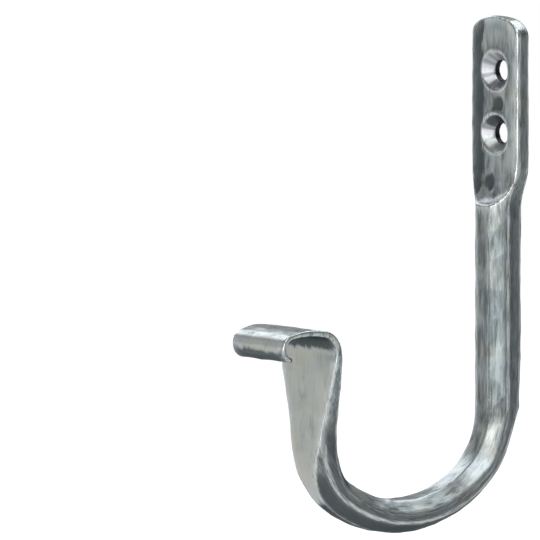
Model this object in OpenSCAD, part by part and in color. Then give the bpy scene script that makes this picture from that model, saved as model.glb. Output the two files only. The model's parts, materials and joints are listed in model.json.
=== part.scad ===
// Hand-forged J hook: one steel bar, flattened at the top into a screw plate,
// bent into a J, and drawn out at the tip into a leaf that curls outwards.
// The backs of the plate and the shank lie on the wall, in the plane y = 0.
// The hook reaches out towards -Y, and the origin is midway between the screws.

/* [Screw plate] */
// Width of the screw plate
plate_w = 20.2; // [17:0.2:24]
// Thickness of the screw plate at its edges
plate_t = 4.8; // [3.8:0.2:5.6]
// Length of the plate, from its top to the shoulder of the bar
plate_len = 51; // [48:1:64]
// Height of the arched top of the plate
arch_h = 5; // [3:0.5:8]
// Depth of the hollow hammered across the face of the plate
dish = 0.5; // [0.2:0.1:0.8]

/* [Screw holes] */
// Diameter of the holes for the screws
screw_d = 5.4; // [4:0.2:6]
// Diameter of the countersinks for the screw heads
head_d = 10.6; // [8:0.2:11.6]
// Distance between the two screws
hole_pitch = 17; // [14:0.5:20]
// Distance from the top of the plate to the upper screw
top_margin = 15; // [10:0.5:16]

/* [Bar] */
// Width of the bar
bar_w = 14; // [11:0.2:16]
// Depth of the bar, from the wall to its front
bar_d = 8.8; // [8:0.2:11]
// Width of the flat along the front of the bar
front_flat = 5.2; // [3:0.2:7]
// Depth of the bevels beside the front flat
front_bevel = 3.6; // [2:0.1:4]
// Bevel on the back corners of the bar
back_bevel = 0.8; // [0.4:0.1:1.4]
// Length of the straight shank, from the shoulder to the bend
shank_len = 55; // [35:1:90]

/* [Bend] */
// Outer radius of the bend below the shank
heel_r = 29; // [24:1:40]
// Angle that the heel turns through
heel_turn = 54; // [45:1:65]
// Outer radius of the bottom of the J
sole_r = 44; // [32:1:55]
// Angle that the bottom turns through
sole_turn = 70; // [60:1:80]
// Outer radius of the bend up into the leaf
toe_r = 19; // [16:1:26]
// Depth of the bar where the leaf begins
toe_d = 9.6; // [7:0.1:10]

/* [Leaf and curl] */
// Width of the leaf where it curls over
leaf_w = 25.5; // [18:0.5:28]
// Thickness of the leaf at the start of the curl
leaf_t = 2.2; // [1.6:0.1:3]
// Straight length of the leaf, from the bend to the curl
leaf_len = 26.6; // [16:0.2:36]
// Angle that the leaf leans back towards the wall
leaf_lean = 3; // [0:0.5:8]
// Inner radius where the leaf turns over into the curl
curl_r = 5; // [4:0.5:8]
// Length of the flattened top of the curl
crown_len = 10.5; // [6:0.5:16]
// Inner radius of the nose of the curl
nose_r = 2.4; // [2:0.2:4]
// Angle that the nose turns through, back under the crown
nose_turn = 190; // [150:5:210]
// Width of the curl at its tip
tip_w = 22; // [12:0.5:24]
// Thickness of the tip
tip_t = 1.5; // [1.2:0.1:2]

/* [Hidden] */
steel = [0.46, 0.49, 0.5];
$fn = 96;

// Heights, from the origin between the two screws
upper_z = hole_pitch / 2;
top_z = upper_z + top_margin;
shoulder_z = top_z - plate_len;

// Shoulder: the sides flare and the front rises where the plate turns into bar
flare_len = 12;
flare_below = 1;
rise_len = 8;
step_r = 5;
face_bevel = 1;
face_stock = 0.5;
top_edge = 1.4;

// Hollow across the face: an arc of hollow_r, which turns out at the plate's edge round step_r
half_w = plate_w / 2;
hollow_r = (half_w * half_w + dish * dish) / (2 * dish);
hollow_lean = asin(half_w / hollow_r);
step_centre = [half_w - step_r * sin(hollow_lean), plate_t + step_r * cos(hollow_lean)];
step_drop = max(0, step_centre[1] - bar_d);
step_reach = step_centre[0] + sqrt(step_r * step_r - step_drop * step_drop);

// Countersink: a 90 degree cone that ends at the hollow face of the plate
hollow_t = plate_t - dish;
sink_depth = (head_d - screw_d) / 2;
clear = 1;

// Outside of the bend, which is rounded off a little above the heel, and edges of the leaf
sole_flat = 4;
sole_bevel = 3;
round_above = 6;
round_below = 10;
draw_lead = 14;
leaf_edge = 0.35;
tip_round = 3;
curl_turn = 80;
crown_turn = 27;

// Spacing of the cross-sections, points on each of their corners, how round those are, and the
// least distance from the flare to the next cross-section
arch_steps = 8;
flare_steps = 10;
shank_steps = 4;
leaf_steps = 8;
crown_steps = 4;
bend_step = 5.5;
curl_step = 10;
corner_steps = 5;
softness = 0.2;
ring_gap = 1;

// Each leg of the path is [length, turn, steps]. The path runs down the wall side, round the
// outside of the J and up the leaf's outer face. A negative turn curls the tip outwards.
function arc_leg(r, turn, step) = [PI * r * abs(turn) / 180, turn, ceil(abs(turn) / step)];
toe_turn = 180 - heel_turn - sole_turn + leaf_lean;
LEGS = [
    [plate_len, 0, 0],
    [shank_len, 0, shank_steps],
    arc_leg(heel_r, heel_turn, bend_step),
    arc_leg(sole_r, sole_turn, bend_step),
    arc_leg(toe_r, toe_turn, bend_step),
    [leaf_len, 0, leaf_steps],
    arc_leg(curl_r, -curl_turn, curl_step),
    [crown_len, -crown_turn, crown_steps],
    arc_leg(nose_r, -nose_turn, curl_step)
];

// Distances along the path at which the legs end
function leg_end(i) = LEGS[i][0] + (i > 0 ? leg_end(i - 1) : 0);
shoulder_s = leg_end(0);
bend_s = leg_end(1);
toe_s = leg_end(3);
curl_s = leg_end(5);
tip_s = leg_end(8);

// A pose is [distance from the wall, height, heading]; heading 0 is down and 90 is outwards
function advance(pose, leg, t) =
    leg[1] == 0 ?
        [pose[0] + leg[0] * t * sin(pose[2]), pose[1] - leg[0] * t * cos(pose[2]), pose[2]] :
        let (r = leg[0] / leg[1] * 180 / PI, heading = pose[2] + leg[1] * t)
        [pose[0] + r * (cos(pose[2]) - cos(heading)),
         pose[1] - r * (sin(heading) - sin(pose[2])),
         heading];
function pose_at(s, i = 0, pose = [0, top_z, 0]) =
    s <= LEGS[i][0] || i == len(LEGS) - 1 ?
        advance(pose, LEGS[i], s / LEGS[i][0]) :
        pose_at(s - LEGS[i][0], i + 1, advance(pose, LEGS[i], 1));

// Blends
function mix(a, b, t) = a + (b - a) * t;
function ease(s, from, to) =
    let (t = max(0, min(1, (s - from) / (to - from))))
    t * t * (3 - 2 * t);
function soft_min(a, b, r) = (a + b - sqrt((a - b) * (a - b) + r * r)) / 2;
function soft_max(a, b, r) = -soft_min(-a, -b, r);
// How far a rounded edge of radius r has fallen away, at distance s from its end
function round_off(s, r) = s >= r ? 0 : r - sqrt(r * r - (r - s) * (r - s));

// How far the bar has changed at distance s: 0 before each change, and 1 after it
flare_from = shoulder_s + flare_below - flare_len;
function flared(s) = ease(s, flare_from, flare_from + flare_len);
function risen(s) = ease(s, flare_from, flare_from + rise_len);
function rounded(s) = ease(s, bend_s - round_above, bend_s + round_below);
function drawn(s) = ease(s, toe_s, curl_s);
function curled(s) = ease(s, curl_s, tip_s);

// Flat outer face of the leaf: it opens from a point where the toe begins
face_slope = leaf_w / (curl_s - toe_s);
function leaf_face(s) = soft_min(mix(leaf_w, tip_w, curled(s)), face_slope * (s - toe_s), 2);

// Width of a cross-section
function arch(s) = s >= arch_h ? 1 : sqrt(1 - pow(1 - s / arch_h, 2));
function bar_width(s) = mix(plate_w, bar_w, flared(s)) * arch(s);
function width(s) =
    soft_max(bar_width(s), leaf_face(s), 1) - 2 * round_off(tip_s - s, tip_round);

// Depth of a cross-section, with stock on the plate for the hollow and the shoulder
plate_d = plate_t + face_stock;
leaf_slope = (toe_d - leaf_t) / (curl_s - toe_s - draw_lead);
function bar_depth(s) =
    mix(mix(plate_d, bar_d, risen(s)), toe_d, ease(s, bend_s, toe_s)) - 2 * round_off(s, top_edge);
function leaf_depth(s) = leaf_t + leaf_slope * (curl_s - s);
function depth(s) =
    soft_max(mix(leaf_t, tip_t, curled(s)), soft_min(bar_depth(s), leaf_depth(s), 0.6), 0.4);

// Flats and bevels: the outer side starts at the wall, and the inner side faces the throat
function edge(s, bevel) = min(mix(bevel, leaf_edge, drawn(s)), 0.3 * width(s));
function outer_flat(s) =
    min(width(s) - 2 * edge(s, back_bevel),
        soft_max(mix(width(s), sole_flat, rounded(s)), leaf_face(s), 0.5));
function outer_bevel(s) = mix(mix(back_bevel, sole_bevel, rounded(s)), leaf_edge, drawn(s));
plate_bevel = face_bevel + face_stock;
function inner_flat(s) =
    mix(mix(width(s) - 2 * edge(s, plate_bevel), front_flat, risen(s)),
        width(s) - 2 * leaf_edge, drawn(s));
function inner_bevel(s) = mix(mix(plate_bevel, front_bevel, risen(s)), leaf_edge, drawn(s));

// Corner from p to q, between a straight bevel and a quarter round
function corner(p, q, leave_flat) = [
    for (i = [0:corner_steps])
        let (t = i / corner_steps,
             slow = mix(t, 1 - cos(90 * t), softness),
             fast = mix(t, sin(90 * t), softness))
        leave_flat ?
            [mix(p[0], q[0], fast), mix(p[1], q[1], slow)] :
            [mix(p[0], q[0], slow), mix(p[1], q[1], fast)]
];
function half_section(s) =
    let (base = round_off(s, top_edge), top = base + depth(s), side = width(s) / 2)
    concat(
        corner([outer_flat(s) / 2, base], [side, base + outer_bevel(s)], true),
        corner([side, top - inner_bevel(s)], [inner_flat(s) / 2, top], false)
    );
function section(s) =
    let (half = half_section(s))
    concat(half, [for (i = [len(half) - 1:-1:0]) [-half[i][0], half[i][1]]]);
function placed_section(s) =
    let (pose = pose_at(s))
    [for (p = section(s)) [p[0], -(pose[0] + p[1] * cos(pose[2])), pose[1] + p[1] * sin(pose[2])]];

// Distances at which the cross-sections lie: close together round the arch, flare and bends
STATIONS = concat(
    [for (i = [1:arch_steps]) arch_h * (1 - cos(90 * i / arch_steps))],
    [for (i = [0:flare_steps]) flare_from + flare_len * i / flare_steps],
    [for (leg = [1:len(LEGS) - 1]) for (i = [1:LEGS[leg][2]])
        let (s = leg_end(leg - 1) + LEGS[leg][0] * i / LEGS[leg][2])
        if (s > flare_from + flare_len + ring_gap) s]
);

// Skin over rings of points that all have the same count
module skin(rings) {
    count = len(rings[0]);
    last = len(rings) - 1;
    points = [for (ring = rings) each ring];
    walls = [
        for (i = [0:last - 1]) for (j = [0:count - 1])
            let (a = i * count + j,
                 b = i * count + (j + 1) % count)
            each [[a, a + count, b + count], [a, b + count, b]]
    ];
    first_cap = [for (j = [0:count - 1]) j];
    last_cap = [for (j = [count - 1:-1:0]) last * count + j];
    polyhedron(points, concat(walls, [first_cap, last_cap]));
}

// The whole bar as it leaves the bending: full stock in front of the plate
module forged_bar() {
    skin([for (s = STATIONS) placed_section(s)]);
}

// Side view of the hammered face: a shallow hollow that rounds out over the shoulder.
// X is the distance from the middle of the plate, and Y the distance from the wall.
module set_down_profile() {
    front = bar_d + clear;
    intersection() {
        translate([0, hollow_t + hollow_r]) circle(hollow_r, $fn = 360);
        square([half_w, front]);
    }
    translate(step_centre) circle(step_r);
    translate([0, step_centre[1]]) square([step_centre[0] + step_r, clear]);
}

// Stock cleared from the front of the plate: a straight hollow with a rounded lower end
module set_down() {
    translate([0, 0, shoulder_z + step_reach]) {
        rotate([90, 0, 0]) rotate_extrude() set_down_profile();
        linear_extrude(plate_len)
            for (side = [0, 1]) mirror([side, 0]) mirror([0, 1]) set_down_profile();
    }
}

// Countersunk hole at height z
module screw_hole(z) {
    translate([0, 0, z]) rotate([90, 0, 0]) {
        translate([0, 0, -clear]) cylinder(d = screw_d, h = plate_t + 2 * clear);
        translate([0, 0, hollow_t - sink_depth])
            cylinder(d1 = screw_d, d2 = head_d + 2 * clear, h = sink_depth + clear);
    }
}

module j_hook() {
    color(steel) difference() {
        forged_bar();
        set_down();
        for (z = [-upper_z, upper_z]) screw_hole(z);
    }
}

j_hook();
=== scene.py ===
import json
import math

import bmesh
import bpy
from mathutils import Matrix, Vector


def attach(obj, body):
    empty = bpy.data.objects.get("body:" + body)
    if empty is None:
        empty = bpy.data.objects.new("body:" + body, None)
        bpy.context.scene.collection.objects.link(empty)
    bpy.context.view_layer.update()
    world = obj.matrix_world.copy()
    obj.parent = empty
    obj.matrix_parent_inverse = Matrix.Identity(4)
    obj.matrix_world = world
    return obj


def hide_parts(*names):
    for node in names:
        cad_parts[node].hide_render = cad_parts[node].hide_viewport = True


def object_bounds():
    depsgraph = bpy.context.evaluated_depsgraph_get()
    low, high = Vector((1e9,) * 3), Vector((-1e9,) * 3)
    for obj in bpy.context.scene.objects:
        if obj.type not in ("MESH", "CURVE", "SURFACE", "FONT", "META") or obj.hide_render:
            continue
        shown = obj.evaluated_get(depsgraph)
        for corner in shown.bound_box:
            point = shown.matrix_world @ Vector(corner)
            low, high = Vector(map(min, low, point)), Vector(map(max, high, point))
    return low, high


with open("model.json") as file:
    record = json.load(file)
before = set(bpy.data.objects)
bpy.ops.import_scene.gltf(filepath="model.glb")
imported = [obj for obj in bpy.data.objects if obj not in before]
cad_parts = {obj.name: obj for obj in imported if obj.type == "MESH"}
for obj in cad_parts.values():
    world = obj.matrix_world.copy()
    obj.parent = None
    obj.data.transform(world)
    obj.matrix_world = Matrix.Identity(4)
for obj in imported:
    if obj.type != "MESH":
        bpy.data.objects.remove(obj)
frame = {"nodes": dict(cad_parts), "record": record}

# A hand-forged steel J hook: one bar with a countersunk screw plate at the top and a curled leaf
# at the tip. The forging is one closed mesh, hammered over its whole surface.
# Row frame: the wall is the plane y = 0, the hook reaches out towards -Y, and +Z is up.

cad_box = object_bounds()
MM = 0.001

# Screws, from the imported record
screws = next(m for m in frame["record"]["mounts"] if m["name"] == "wall_screws")
hole_r = screws["dims"]["hole_r_mm"] * MM
screw_z = screws["dims"]["spacing_y_mm"] * MM / 2
sink_r = 5.3 * MM                   # of the countersinks, at the plate's face


def direction(azimuth, elevation):
    """From the hook towards a camera or a lamp, in degrees: 0, 0 is the front and 90, 0 is +X."""
    a, e = math.radians(azimuth), math.radians(elevation)
    return Vector((math.sin(a) * math.cos(e), -math.cos(a) * math.cos(e), math.sin(e)))


# ---------------------------------------------------------------------------------- camera
PICTURE = 540                       # pixels, each way
PIXEL = 0.27 * MM                   # real size of a pixel at the shank
AZIMUTH = 50
ELEVATION = 6
LENS = 1200                         # mm; long, so that there is next to no perspective
SENSOR = 36                         # mm
FAR_CLIP = 60                       # metres
SHANK_POINT = Vector((0, -2.9, -64.6)) * MM     # a point inside the shank ...
SHANK_PIXEL = (498.5, 340)                      # ... and the pixel that it falls on


def make_camera():
    right = direction(AZIMUTH + 90, 0)
    back = direction(AZIMUTH, ELEVATION)
    up = back.cross(right)
    distance = LENS / SENSOR * PICTURE * PIXEL
    data = bpy.data.cameras.new("camera")
    data.lens = LENS
    data.sensor_width = SENSOR
    data.clip_end = FAR_CLIP
    camera = bpy.data.objects.new("camera", data)
    camera.location = SHANK_POINT + back * distance
    aim = (SHANK_POINT
           - right * (SHANK_PIXEL[0] - PICTURE / 2) * PIXEL
           + up * (SHANK_PIXEL[1] - PICTURE / 2) * PIXEL)
    camera.rotation_mode = "QUATERNION"
    camera.rotation_quaternion = (camera.location - aim).to_track_quat("Z", "Y")
    bpy.context.scene.collection.objects.link(camera)
    bpy.context.scene.camera = camera


# ---------------------------------------------------------------------------- node helpers
def node(tree, kind, settings=None, **inputs):
    """Adds a node. An input given as a socket is linked, and any other is set."""
    made = tree.nodes.new(kind)
    for name, value in (settings or {}).items():
        setattr(made, name, value)
    for name, value in inputs.items():
        feed(tree, made, name, value)
    return made


def feed(tree, made, name, value):
    """Links or sets the input of that name, or of that number where the name is i0, i1, ..."""
    if name[0] == "i" and name[1:].isdigit():
        socket = made.inputs[int(name[1:])]
    else:
        socket = next(s for s in made.inputs if s.enabled and s.name.replace(" ", "_") == name)
    if isinstance(value, bpy.types.NodeSocket):
        tree.links.new(value, socket)
    else:
        socket.default_value = value


def maths(tree, operation, a, b=0.0, clamp=False):
    made = node(tree, "ShaderNodeMath", {"operation": operation, "use_clamp": clamp}, i0=a, i1=b)
    return made.outputs[0]


def vector_maths(tree, operation, a, b=(0, 0, 0)):
    made = node(tree, "ShaderNodeVectorMath", {"operation": operation}, i0=a, i1=b)
    return made.outputs["Value" if operation in ("LENGTH", "DISTANCE") else "Vector"]


def ramp(tree, value, low, high, smooth=True):
    """0 below low, 1 above high."""
    kind = "SMOOTHSTEP" if smooth else "LINEAR"
    made = node(tree, "ShaderNodeMapRange", {"interpolation_type": kind},
                Value=value, From_Min=low, From_Max=high)
    return made.outputs["Result"]


def mix_colour(tree, factor, a, b, blend="MIX"):
    made = node(tree, "ShaderNodeMix", {"data_type": "RGBA", "blend_type": blend})
    feed(tree, made, "Factor", factor)
    feed(tree, made, "A", a)
    feed(tree, made, "B", b)
    return next(s for s in made.outputs if s.enabled)


# -------------------------------------------------------------------------- forged material
BEND_CENTRE = Vector((0, -36, -78))     # mm; the brush marks turn round it below its height
SCALE_AND_SHADE_DARK = (0.060, 0.070, 0.075, 1)   # fire scale that the brush left, also used as painted shade on the sides, undersides, backs and dents
STEEL_MID = (0.205, 0.225, 0.228, 1)    # brushed steel
STEEL_RUBBED_AND_SHEEN = (0.44, 0.46, 0.46, 1)    # lighter steel on the plate, and painted highlight on upward faces and along the ridges
STEEL_BRIGHT = (0.50, 0.52, 0.52, 1)    # worn edges, partly real wear and partly painted highlight
LEAF_STEEL = (0.35, 0.355, 0.335, 1)
CUT_STEEL = (0.40, 0.41, 0.43, 1)       # countersinks, as the cutter left them
CUT_SHADE = (0.22, 0.23, 0.245, 1)
SCALE_GRAZE = (0.35, 0.36, 0.37, 1)     # scale doesn't mirror at shallow angles as bare steel does
# painted shade inside the screw bores
BORE_SHADE_BLACK = (0.02, 0.021, 0.022, 1)
COOL_TINT = (0.93, 0.98, 1.0, 1)
WARM_TINT = (1.0, 1.0, 0.95, 1)
WHITE = (1, 1, 1, 1)
METALLIC = 0.92
ROUGH = 0.44                            # where no brush went
RELIEF = 0.12 * MM                      # depth of the brush marks and grain, as bump
LINE_SCALE, SMEAR_SCALE = 2.6, 0.42     # noise scales, to a millimetre
CLOUD_SCALE, GRAIN_SCALE = 0.13, 4.2
LINE_STRETCH, SMEAR_STRETCH = 0.07, 0.22        # along the bar, against across it
BEND_R = 38.0                           # mm; middle radius of the bend
SHADE_STRIP_X = -4.8                          # mm; a strip of painted shade runs along the plate's left edge beyond this
STRIP_LOW = -26


def bar_coordinates(tree, place_mm):
    """Coordinates that run along the bar: straight above the bend's centre, round it below."""
    from_centre = vector_maths(tree, "SUBTRACT", place_mm, tuple(BEND_CENTRE))
    split = node(tree, "ShaderNodeSeparateXYZ", Vector=from_centre).outputs
    below = maths(tree, "MINIMUM", split["Z"], 0.0)
    radius = maths(tree, "SQRT", maths(tree, "ADD", maths(tree, "POWER", split["Y"], 2.0),
                                       maths(tree, "POWER", below, 2.0)))
    turn = maths(tree, "ARCTAN2", below, maths(tree, "ABSOLUTE", split["Y"]))
    along = maths(tree, "ADD", maths(tree, "MAXIMUM", split["Z"], 0.0),
                  maths(tree, "MULTIPLY", turn, BEND_R))
    return node(tree, "ShaderNodeCombineXYZ", X=split["X"], Y=radius, Z=along).outputs[0]


def attribute(tree, name):
    return node(tree, "ShaderNodeAttribute", {"attribute_name": name}).outputs["Fac"]


def forged_steel():
    material = bpy.data.materials.new("forged_steel")
    material.use_nodes = True
    tree = material.node_tree
    tree.nodes.clear()
    place = node(tree, "ShaderNodeTexCoord").outputs["Object"]
    place_mm = vector_maths(tree, "MULTIPLY", place, (1000, 1000, 1000))
    at = node(tree, "ShaderNodeSeparateXYZ", Vector=place_mm).outputs
    bar = bar_coordinates(tree, place_mm)

    # Brush and draw marks: fine lines along the bar, and longer smears of scale
    stretched = vector_maths(tree, "MULTIPLY", bar, (1.0, 1.0, LINE_STRETCH))
    lines = node(tree, "ShaderNodeTexNoise", Vector=stretched, Scale=LINE_SCALE, Detail=6.0,
                 Roughness=0.7).outputs["Fac"]
    smeared = vector_maths(tree, "MULTIPLY", bar, (1.0, 1.0, SMEAR_STRETCH))
    smears = node(tree, "ShaderNodeTexNoise", Vector=smeared, Scale=SMEAR_SCALE, Detail=5.0,
                  Roughness=0.62, Distortion=0.6).outputs["Fac"]
    clouds = node(tree, "ShaderNodeTexNoise", Vector=place_mm, Scale=CLOUD_SCALE, Detail=3.0,
                  Roughness=0.55).outputs["Fac"]
    grain = node(tree, "ShaderNodeTexNoise", Vector=place_mm, Scale=GRAIN_SCALE, Detail=4.0,
                 Roughness=0.65).outputs["Fac"]

    # Where the brush went: brushed steel over dark scale, with ragged borders between them
    brushed = maths(tree, "ADD", maths(tree, "MULTIPLY", smears, 0.75),
                    maths(tree, "MULTIPLY", lines, 0.45))
    dished = maths(tree, "MULTIPLY", attribute(tree, "blow"), 0.1)
    brushed = maths(tree, "SUBTRACT", brushed, dished)
    # Painted shade: a darker strip along the plate's left edge, with a wandering border
    wander = maths(tree, "MULTIPLY", maths(tree, "SUBTRACT", clouds, 0.5), 5.0)
    shade_strip = maths(tree, "MULTIPLY",
                  ramp(tree, maths(tree, "ADD", at["X"], wander), SHADE_STRIP_X + 0.9, SHADE_STRIP_X - 0.9),
                  ramp(tree, at["Z"], STRIP_LOW - 2.0, STRIP_LOW + 2.0))
    scale_and_shade = maths(tree, "MAXIMUM", attribute(tree, "scale_and_shade"), maths(tree, "MULTIPLY", shade_strip, 0.95))
    ragged = maths(tree, "MULTIPLY", maths(tree, "SUBTRACT", smears, 0.5), 1.1)
    scale_and_shade = ramp(tree, maths(tree, "ADD", scale_and_shade, ragged), 0.26, 0.62)

    # Colour
    base = mix_colour(tree, ramp(tree, brushed, 0.36, 0.74), SCALE_AND_SHADE_DARK, STEEL_MID)
    plate = maths(tree, "MULTIPLY", ramp(tree, at["Z"], STRIP_LOW - 2.0, STRIP_LOW + 2.0),
                  ramp(tree, brushed, 0.30, 0.66))
    base = mix_colour(tree, maths(tree, "MULTIPLY", plate, 0.2), base, STEEL_RUBBED_AND_SHEEN)
    leaf = maths(tree, "MULTIPLY", attribute(tree, "leaf"), ramp(tree, brushed, 0.15, 0.55))
    base = mix_colour(tree, maths(tree, "MULTIPLY", leaf, 0.85), base, LEAF_STEEL)
    # Painted highlight: upward faces and a wide band along the ridges are lightened
    painted_sheen = maths(tree, "MAXIMUM", attribute(tree, "painted_sheen"),
                   maths(tree, "MULTIPLY", attribute(tree, "ridge"), 0.8))
    painted_sheen = maths(tree, "MULTIPLY", painted_sheen, ramp(tree, brushed, 0.30, 0.62))
    base = mix_colour(tree, maths(tree, "MULTIPLY", painted_sheen, 0.75), base, STEEL_RUBBED_AND_SHEEN)
    # Painted shade: the sides, undersides, backs, dents and the plate's left strip take the dark
    # scale colour, over some real fire scale
    base = mix_colour(tree, maths(tree, "MULTIPLY", scale_and_shade, 0.95), base, SCALE_AND_SHADE_DARK)
    # Worn edges are lightened, partly as real wear and partly as painted highlight
    edges = maths(tree, "MAXIMUM", attribute(tree, "wear_and_glint"),
                  maths(tree, "MULTIPLY", attribute(tree, "ridge"), 0.3))
    worn_and_glint = maths(tree, "MULTIPLY", edges, ramp(tree, lines, 0.30, 0.62))
    colour = mix_colour(tree, maths(tree, "MULTIPLY", worn_and_glint, 0.85, clamp=True), base, STEEL_BRIGHT)
    tint = mix_colour(tree, ramp(tree, clouds, 0.35, 0.68), COOL_TINT, WARM_TINT)
    colour = mix_colour(tree, 1.0, colour, tint, "MULTIPLY")

    # Countersinks: bright, with the cutter's chatter round them; the bores are painted black as
    # painted shade
    height = maths(tree, "SUBTRACT", maths(tree, "ABSOLUTE", at["Z"]), screw_z / MM)
    flat = node(tree, "ShaderNodeCombineXYZ", X=at["X"], Z=height).outputs[0]
    from_screw = vector_maths(tree, "LENGTH", flat)
    spokes = vector_maths(tree, "NORMALIZE", flat)
    chatter = node(tree, "ShaderNodeTexNoise", Vector=spokes, Scale=2.4, Detail=2.0).outputs["Fac"]
    cut = mix_colour(tree, ramp(tree, chatter, 0.42, 0.58), CUT_SHADE, CUT_STEEL)
    colour = mix_colour(tree, attribute(tree, "cut"), colour, cut)
    # Painted shade: the bore's wall is coloured black
    bore_shade = ramp(tree, from_screw, hole_r / MM + 0.25, hole_r / MM + 0.05)
    colour = mix_colour(tree, bore_shade, colour, BORE_SHADE_BLACK)

    rough = maths(tree, "SUBTRACT", ROUGH, maths(tree, "MULTIPLY", brushed, 0.18))
    rough = maths(tree, "SUBTRACT", rough, maths(tree, "MULTIPLY", worn_and_glint, 0.12))
    rough = maths(tree, "ADD", rough, maths(tree, "MULTIPLY", scale_and_shade, 0.1))

    relief = maths(tree, "ADD", maths(tree, "MULTIPLY", lines, 0.55),
                   maths(tree, "MULTIPLY", grain, 0.30))
    relief = maths(tree, "ADD", relief, maths(tree, "MULTIPLY", smears, 0.8))
    bump = node(tree, "ShaderNodeBump", Height=relief, Strength=0.35, Distance=RELIEF)

    graze = mix_colour(tree, scale_and_shade, WHITE, SCALE_GRAZE)
    shader = node(tree, "ShaderNodeBsdfPrincipled", Base_Color=colour, Roughness=rough,
                  Normal=bump.outputs["Normal"], Metallic=METALLIC, Specular_Tint=graze)
    node(tree, "ShaderNodeOutputMaterial", Surface=shader.outputs["BSDF"])
    return material


# ------------------------------------------------------------------------------ the forging
VOXEL = 0.37 * MM
WELD = 0.002 * MM
BLOW_DENSITY = 9e4                  # to a square metre, before they are thinned to their spacing
WAVE_SCALE = 90.0                   # to a metre
LEAF_FROM, LEAF_FULL = -55 * MM, -61 * MM       # y over which the bar becomes the leaf
TOE_FROM, TOE_FULL = -52 * MM, -60 * MM         # y over which the painted shade on the sides is weaker
POINT_FROM, POINT_FULL = -78 * MM, -86 * MM     # z over which the leaf runs down to its point


def stock():
    """A closed copy of the CAD solid's surface, with even small faces for the hammer."""
    mesh = frame["nodes"]["j_hook"].data.copy()
    cleaned = bmesh.new()
    cleaned.from_mesh(mesh)
    bmesh.ops.remove_doubles(cleaned, verts=cleaned.verts, dist=WELD)
    bmesh.ops.recalc_face_normals(cleaned, faces=cleaned.faces)
    cleaned.to_mesh(mesh)
    cleaned.free()
    mesh.materials.clear()
    piece = bpy.data.objects.new("forged_hook", mesh)
    bpy.context.scene.collection.objects.link(piece)
    remesh = piece.modifiers.new("even_faces", "REMESH")
    remesh.mode = "VOXEL"
    remesh.voxel_size = VOXEL
    remesh.use_smooth_shade = True
    return piece


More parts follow.
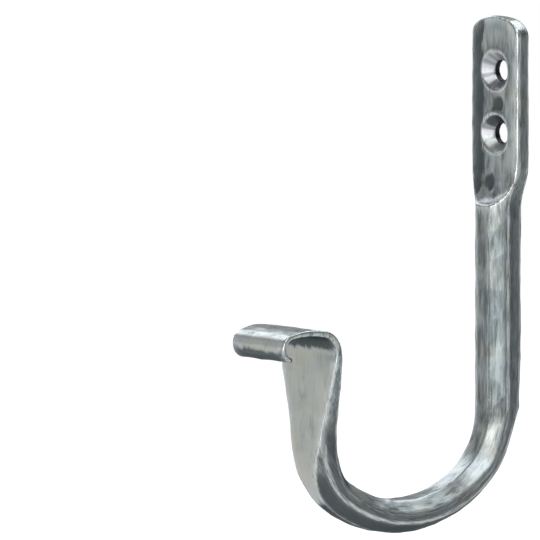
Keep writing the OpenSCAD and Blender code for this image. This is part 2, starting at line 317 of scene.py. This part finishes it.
def hammer_tree():
    """Hammer blows over a surface: each point takes the dish of the blow nearest to it."""
    tree = bpy.data.node_groups.new("hammered", "GeometryNodeTree")
    for name, kind, value in (("Geometry", "Geometry", None), ("Softening", "Int", 2),
                              ("Blow Spacing", "Float", 5 * MM), ("Blow Radius", "Float", 4.4 * MM),
                              ("Blow Depth", "Float", 0.16 * MM), ("Waviness", "Float", 0.2 * MM),
                              ("Screw Height", "Float", screw_z), ("Clear Radius", "Float", sink_r),
                              ("Dent Upper", "Vector", (0.8 * MM, -4.4 * MM, -0.4 * MM)),
                              ("Dent Lower", "Vector", (-2.1 * MM, -4.4 * MM, -21.7 * MM)),
                              ("Dent Radius", "Float", 3.8 * MM), ("Dent Depth", "Float", 0.3 * MM),
                              ("Border Softening", "Int", 68),
                              ("Seed", "Int", 7), ("Material", "Material", None)):
        socket = tree.interface.new_socket(name, in_out="INPUT", socket_type="NodeSocket" + kind)
        if value is not None:
            socket.default_value = value
    tree.interface.new_socket("Geometry", in_out="OUTPUT", socket_type="NodeSocketGeometry")
    given = node(tree, "NodeGroupInput").outputs

    position = node(tree, "GeometryNodeInputPosition").outputs[0]
    softened = node(tree, "GeometryNodeBlurAttribute", {"data_type": "FLOAT_VECTOR"},
                    Value=position, Iterations=given["Softening"]).outputs[0]
    soft = node(tree, "GeometryNodeSetPosition", Geometry=given["Geometry"], Position=softened)

    # Blows, scattered over the surface
    blows = node(tree, "GeometryNodeDistributePointsOnFaces", {"distribute_method": "POISSON"},
                 Mesh=soft.outputs[0], Distance_Min=given["Blow Spacing"],
                 Density_Max=BLOW_DENSITY, Seed=given["Seed"]).outputs["Points"]
    nearest = node(tree, "GeometryNodeSampleNearest", {"domain": "POINT"},
                   Geometry=blows).outputs[0]
    centre = node(tree, "GeometryNodeSampleIndex", {"data_type": "FLOAT_VECTOR", "domain": "POINT"},
                  Geometry=blows, Value=position, Index=nearest).outputs[0]
    away = maths(tree, "DIVIDE", vector_maths(tree, "DISTANCE", position, centre),
                 given["Blow Radius"])
    dish = maths(tree, "SUBTRACT", 1.0, maths(tree, "MULTIPLY", away, away), clamp=True)

    # No blows on the countersinks
    split = node(tree, "ShaderNodeSeparateXYZ", Vector=position).outputs
    height = maths(tree, "SUBTRACT", maths(tree, "ABSOLUTE", split["Z"]), given["Screw Height"])
    flat = node(tree, "ShaderNodeCombineXYZ", X=split["X"], Z=height).outputs[0]
    from_screw = vector_maths(tree, "LENGTH", flat)
    beyond = maths(tree, "SUBTRACT", from_screw, given["Clear Radius"])
    free = ramp(tree, beyond, 0.2 * MM, 1.6 * MM)
    dish = maths(tree, "MULTIPLY", dish, free)

    # Two deeper dents that the hammer's round face left in the plate
    dents = []
    for name in ("Dent Upper", "Dent Lower"):
        from_dent = vector_maths(tree, "DISTANCE", position, given[name])
        dents.append(ramp(tree, maths(tree, "DIVIDE", from_dent, given["Dent Radius"]), 1.0, 0.3))
    dent = maths(tree, "MULTIPLY", maths(tree, "MAXIMUM", *dents), free)

    # The leaf's outer face, down to its point; it was planished, so its blows are shallower
    normal = node(tree, "GeometryNodeInputNormal").outputs[0]
    faces = node(tree, "ShaderNodeSeparateXYZ", Vector=normal).outputs
    sideways = maths(tree, "ABSOLUTE", faces["X"])
    leaf = maths(tree, "MULTIPLY", ramp(tree, split["Y"], LEAF_FROM, LEAF_FULL),
                 maths(tree, "MULTIPLY", ramp(tree, faces["Y"], -0.5, -0.75),
                       ramp(tree, sideways, 0.45, 0.25)))
    dish = maths(tree, "MULTIPLY", dish,
                 maths(tree, "SUBTRACT", 1.0, maths(tree, "MULTIPLY", leaf, 0.5)))

    # Slow waves, blows and dents, all cut inwards
    waves = node(tree, "ShaderNodeTexNoise", Vector=position, Scale=WAVE_SCALE,
                 Detail=1.0).outputs["Fac"]
    sunk = maths(tree, "ADD", maths(tree, "MULTIPLY", dish, given["Blow Depth"]),
                 maths(tree, "MULTIPLY", maths(tree, "MULTIPLY", waves, free), given["Waviness"]))
    sunk = maths(tree, "ADD", sunk, maths(tree, "MULTIPLY", dent, given["Dent Depth"]))
    inwards = node(tree, "ShaderNodeVectorMath", {"operation": "SCALE"}, i0=normal,
                   Scale=maths(tree, "MULTIPLY", sunk, -1.0)).outputs[0]

    # Ridges that the brush wears bright, with painted highlight laid along them: how far a point
    # stands out from its surroundings
    around = node(tree, "GeometryNodeBlurAttribute", {"data_type": "FLOAT_VECTOR"},
                  Value=position, Iterations=6).outputs[0]
    out = node(tree, "ShaderNodeVectorMath", {"operation": "DOT_PRODUCT"}, i0=normal,
               i1=vector_maths(tree, "SUBTRACT", position, around)).outputs["Value"]
    wear_and_glint = ramp(tree, out, 0.012 * MM, 0.075 * MM)
    ridge = node(tree, "GeometryNodeBlurAttribute", {"data_type": "FLOAT"}, Value=wear_and_glint,
                 Iterations=given["Border Softening"]).outputs[0]

    # Fire scale and painted shade: the sides, the undersides, the backs and the dents are marked
    # dark
    toe = ramp(tree, split["Y"], TOE_FROM, TOE_FULL)
    sides = maths(tree, "MULTIPLY", ramp(tree, sideways, 0.64, 0.92),
                  maths(tree, "SUBTRACT", 1.0, maths(tree, "MULTIPLY", toe, 0.45)))
    low_leaf = maths(tree, "MULTIPLY", leaf, ramp(tree, split["Z"], POINT_FROM, POINT_FULL))
    below = maths(tree, "MULTIPLY", ramp(tree, faces["Z"], -0.05, -0.5),
                  maths(tree, "SUBTRACT", 1.0, low_leaf))
    backs = ramp(tree, faces["Y"], 0.4, 0.8)
    scale_and_shade = maths(tree, "MAXIMUM", maths(tree, "MAXIMUM", sides, below), backs)
    scale_and_shade = node(tree, "GeometryNodeBlurAttribute", {"data_type": "FLOAT"}, Value=scale_and_shade,
                  Iterations=given["Border Softening"]).outputs[0]
    scale_and_shade = maths(tree, "MAXIMUM", scale_and_shade, maths(tree, "MULTIPLY", dent, 0.62))

    # Inside a countersink, the face leans in towards its screw
    leaning = node(tree, "ShaderNodeVectorMath", {"operation": "DOT_PRODUCT"}, i0=normal,
                   i1=vector_maths(tree, "NORMALIZE", flat)).outputs["Value"]
    cut = maths(tree, "MULTIPLY", ramp(tree, leaning, -0.3, -0.5),
                maths(tree, "LESS_THAN", beyond, 0.6 * MM))

    marked = soft.outputs[0]
    for name, value in (("wear_and_glint", wear_and_glint), ("ridge", ramp(tree, ridge, 0.1, 0.5)), ("blow", dish),
                        # painted_sheen marks upward faces, for painted highlight
                        ("scale_and_shade", scale_and_shade), ("painted_sheen", ramp(tree, faces["Z"], 0.02, 0.35)),
                        ("cut", cut), ("leaf", leaf)):
        marked = node(tree, "GeometryNodeStoreNamedAttribute",
                      {"data_type": "FLOAT", "domain": "POINT"},
                      Geometry=marked, Name=name, Value=value).outputs[0]
    struck = node(tree, "GeometryNodeSetPosition", Geometry=marked, Offset=inwards)

    real = node(tree, "GeometryNodeRealizeInstances", Geometry=struck.outputs[0])
    dressed = node(tree, "GeometryNodeSetMaterial", Geometry=real.outputs[0],
                   Material=given["Material"])
    node(tree, "NodeGroupOutput", Geometry=dressed.outputs[0])
    return tree


def set_inputs(modifier, **values):
    """Sets a modifier's inputs by their identifiers, found from their names."""
    for item in modifier.node_group.interface.items_tree:
        name = item.name.replace(" ", "_")
        if item.item_type == "SOCKET" and item.in_out == "INPUT" and name in values:
            modifier[item.identifier] = values[name]


def made_plain(piece):
    """Turns a piece and its modifiers into a plain mesh."""
    bpy.context.view_layer.update()
    evaluated = piece.evaluated_get(bpy.context.evaluated_depsgraph_get())
    mesh = bpy.data.meshes.new_from_object(evaluated)
    piece.modifiers.clear()
    piece.data = mesh
    for polygon in mesh.polygons:
        polygon.use_smooth = True
    return piece


def forge(material):
    piece = made_plain(stock())
    hammer = piece.modifiers.new("hammer", "NODES")
    hammer.node_group = hammer_tree()
    set_inputs(hammer, Material=material)
    made_plain(piece)
    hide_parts("j_hook")
    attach(piece, "root")
    return piece


# ----------------------------------------------------------------------- stage and lighting
FLOOR_Z = -0.26                     # metres, well below the hook as it hangs
FLOOR_R = 7.0
PAPER = (0.4, 0.4, 0.4, 1)          # what the lamps light
PAPER_SEEN = 0.88                   # added where it is seen, so that it comes out white
UPPER_ROOM = (0.29, 0.3, 0.31, 1)
ROOM_WHITE_TO, ROOM_GREY_FROM = 0.03, 0.05      # sine of the height above the horizon
# Name, azimuth and elevation, distance, width and height, brightness, colour
LAMPS = (
    ("key", 26, 6, 1.2, 0.42, 1.3, 5.8, (1.0, 0.99, 0.97)),
    ("overhead", 48, 62, 1.3, 0.9, 0.9, 3.0, (0.98, 0.99, 1.0)),
    ("back_top", 190, 55, 1.3, 1.0, 1.0, 3.0, (0.95, 0.97, 1.0)),
    ("left_top", -100, 34, 1.3, 0.8, 0.8, 2.5, (0.94, 0.96, 1.0)),
    ("left_fill", -54, 6, 1.4, 0.8, 1.2, 0.5, (1.0, 0.985, 0.95)),
)


def paper_material():
    material = bpy.data.materials.new("pale_paper")
    material.use_nodes = True
    tree = material.node_tree
    tree.nodes.clear()
    ray = node(tree, "ShaderNodeLightPath").outputs
    seen = maths(tree, "MAXIMUM", ray["Is Camera Ray"],
                 maths(tree, "MAXIMUM", ray["Is Glossy Ray"], ray["Is Transmission Ray"]))
    paper = node(tree, "ShaderNodeBsdfDiffuse", Color=PAPER).outputs[0]
    lit = node(tree, "ShaderNodeEmission", Color=WHITE,
               Strength=maths(tree, "MULTIPLY", seen, PAPER_SEEN)).outputs[0]
    both = node(tree, "ShaderNodeAddShader", i0=paper, i1=lit).outputs[0]
    node(tree, "ShaderNodeOutputMaterial", Surface=both)
    return material


def make_floor():
    """A round pale floor, wide enough for its edge to stay out of every view."""
    disc = bmesh.new()
    bmesh.ops.create_circle(disc, cap_ends=True, segments=96, radius=FLOOR_R)
    mesh = bpy.data.meshes.new("paper_floor")
    disc.to_mesh(mesh)
    disc.free()
    mesh.materials.append(paper_material())
    paper = bpy.data.objects.new("paper_floor", mesh)
    paper.location.z = FLOOR_Z
    bpy.context.scene.collection.objects.link(paper)


def soft_box(name, azimuth, elevation, distance, width, height, brightness, colour):
    """An area lamp aimed at the hook. Brightness is its radiance, where 1 is white."""
    middle = (cad_box[0] + cad_box[1]) / 2
    back = direction(azimuth, elevation)
    data = bpy.data.lights.new(name, "AREA")
    data.shape = "RECTANGLE"
    data.size = width
    data.size_y = height
    data.energy = brightness * math.pi * width * height
    data.color = colour
    lamp = bpy.data.objects.new(name, data)
    lamp.location = middle + back * distance
    lamp.rotation_mode = "QUATERNION"
    lamp.rotation_quaternion = back.to_track_quat("Z", "Y")
    bpy.context.scene.collection.objects.link(lamp)


def make_light():
    for lamp in LAMPS:
        soft_box(*lamp)
    world = bpy.data.worlds.new("studio")
    world.use_nodes = True
    tree = world.node_tree

    # The room is white up to just above the horizon, like the floor, and grey above that
    way = node(tree, "ShaderNodeTexCoord").outputs["Generated"]
    up = node(tree, "ShaderNodeSeparateXYZ", Vector=way).outputs["Z"]
    room = mix_colour(tree, ramp(tree, up, ROOM_GREY_FROM, ROOM_WHITE_TO), UPPER_ROOM, WHITE)
    feed(tree, tree.nodes["Background"], "Color", room)
    bpy.context.scene.world = world


make_camera()
forge(forged_steel())
make_floor()
make_light()
bpy.context.scene.view_settings.view_transform = "Standard"
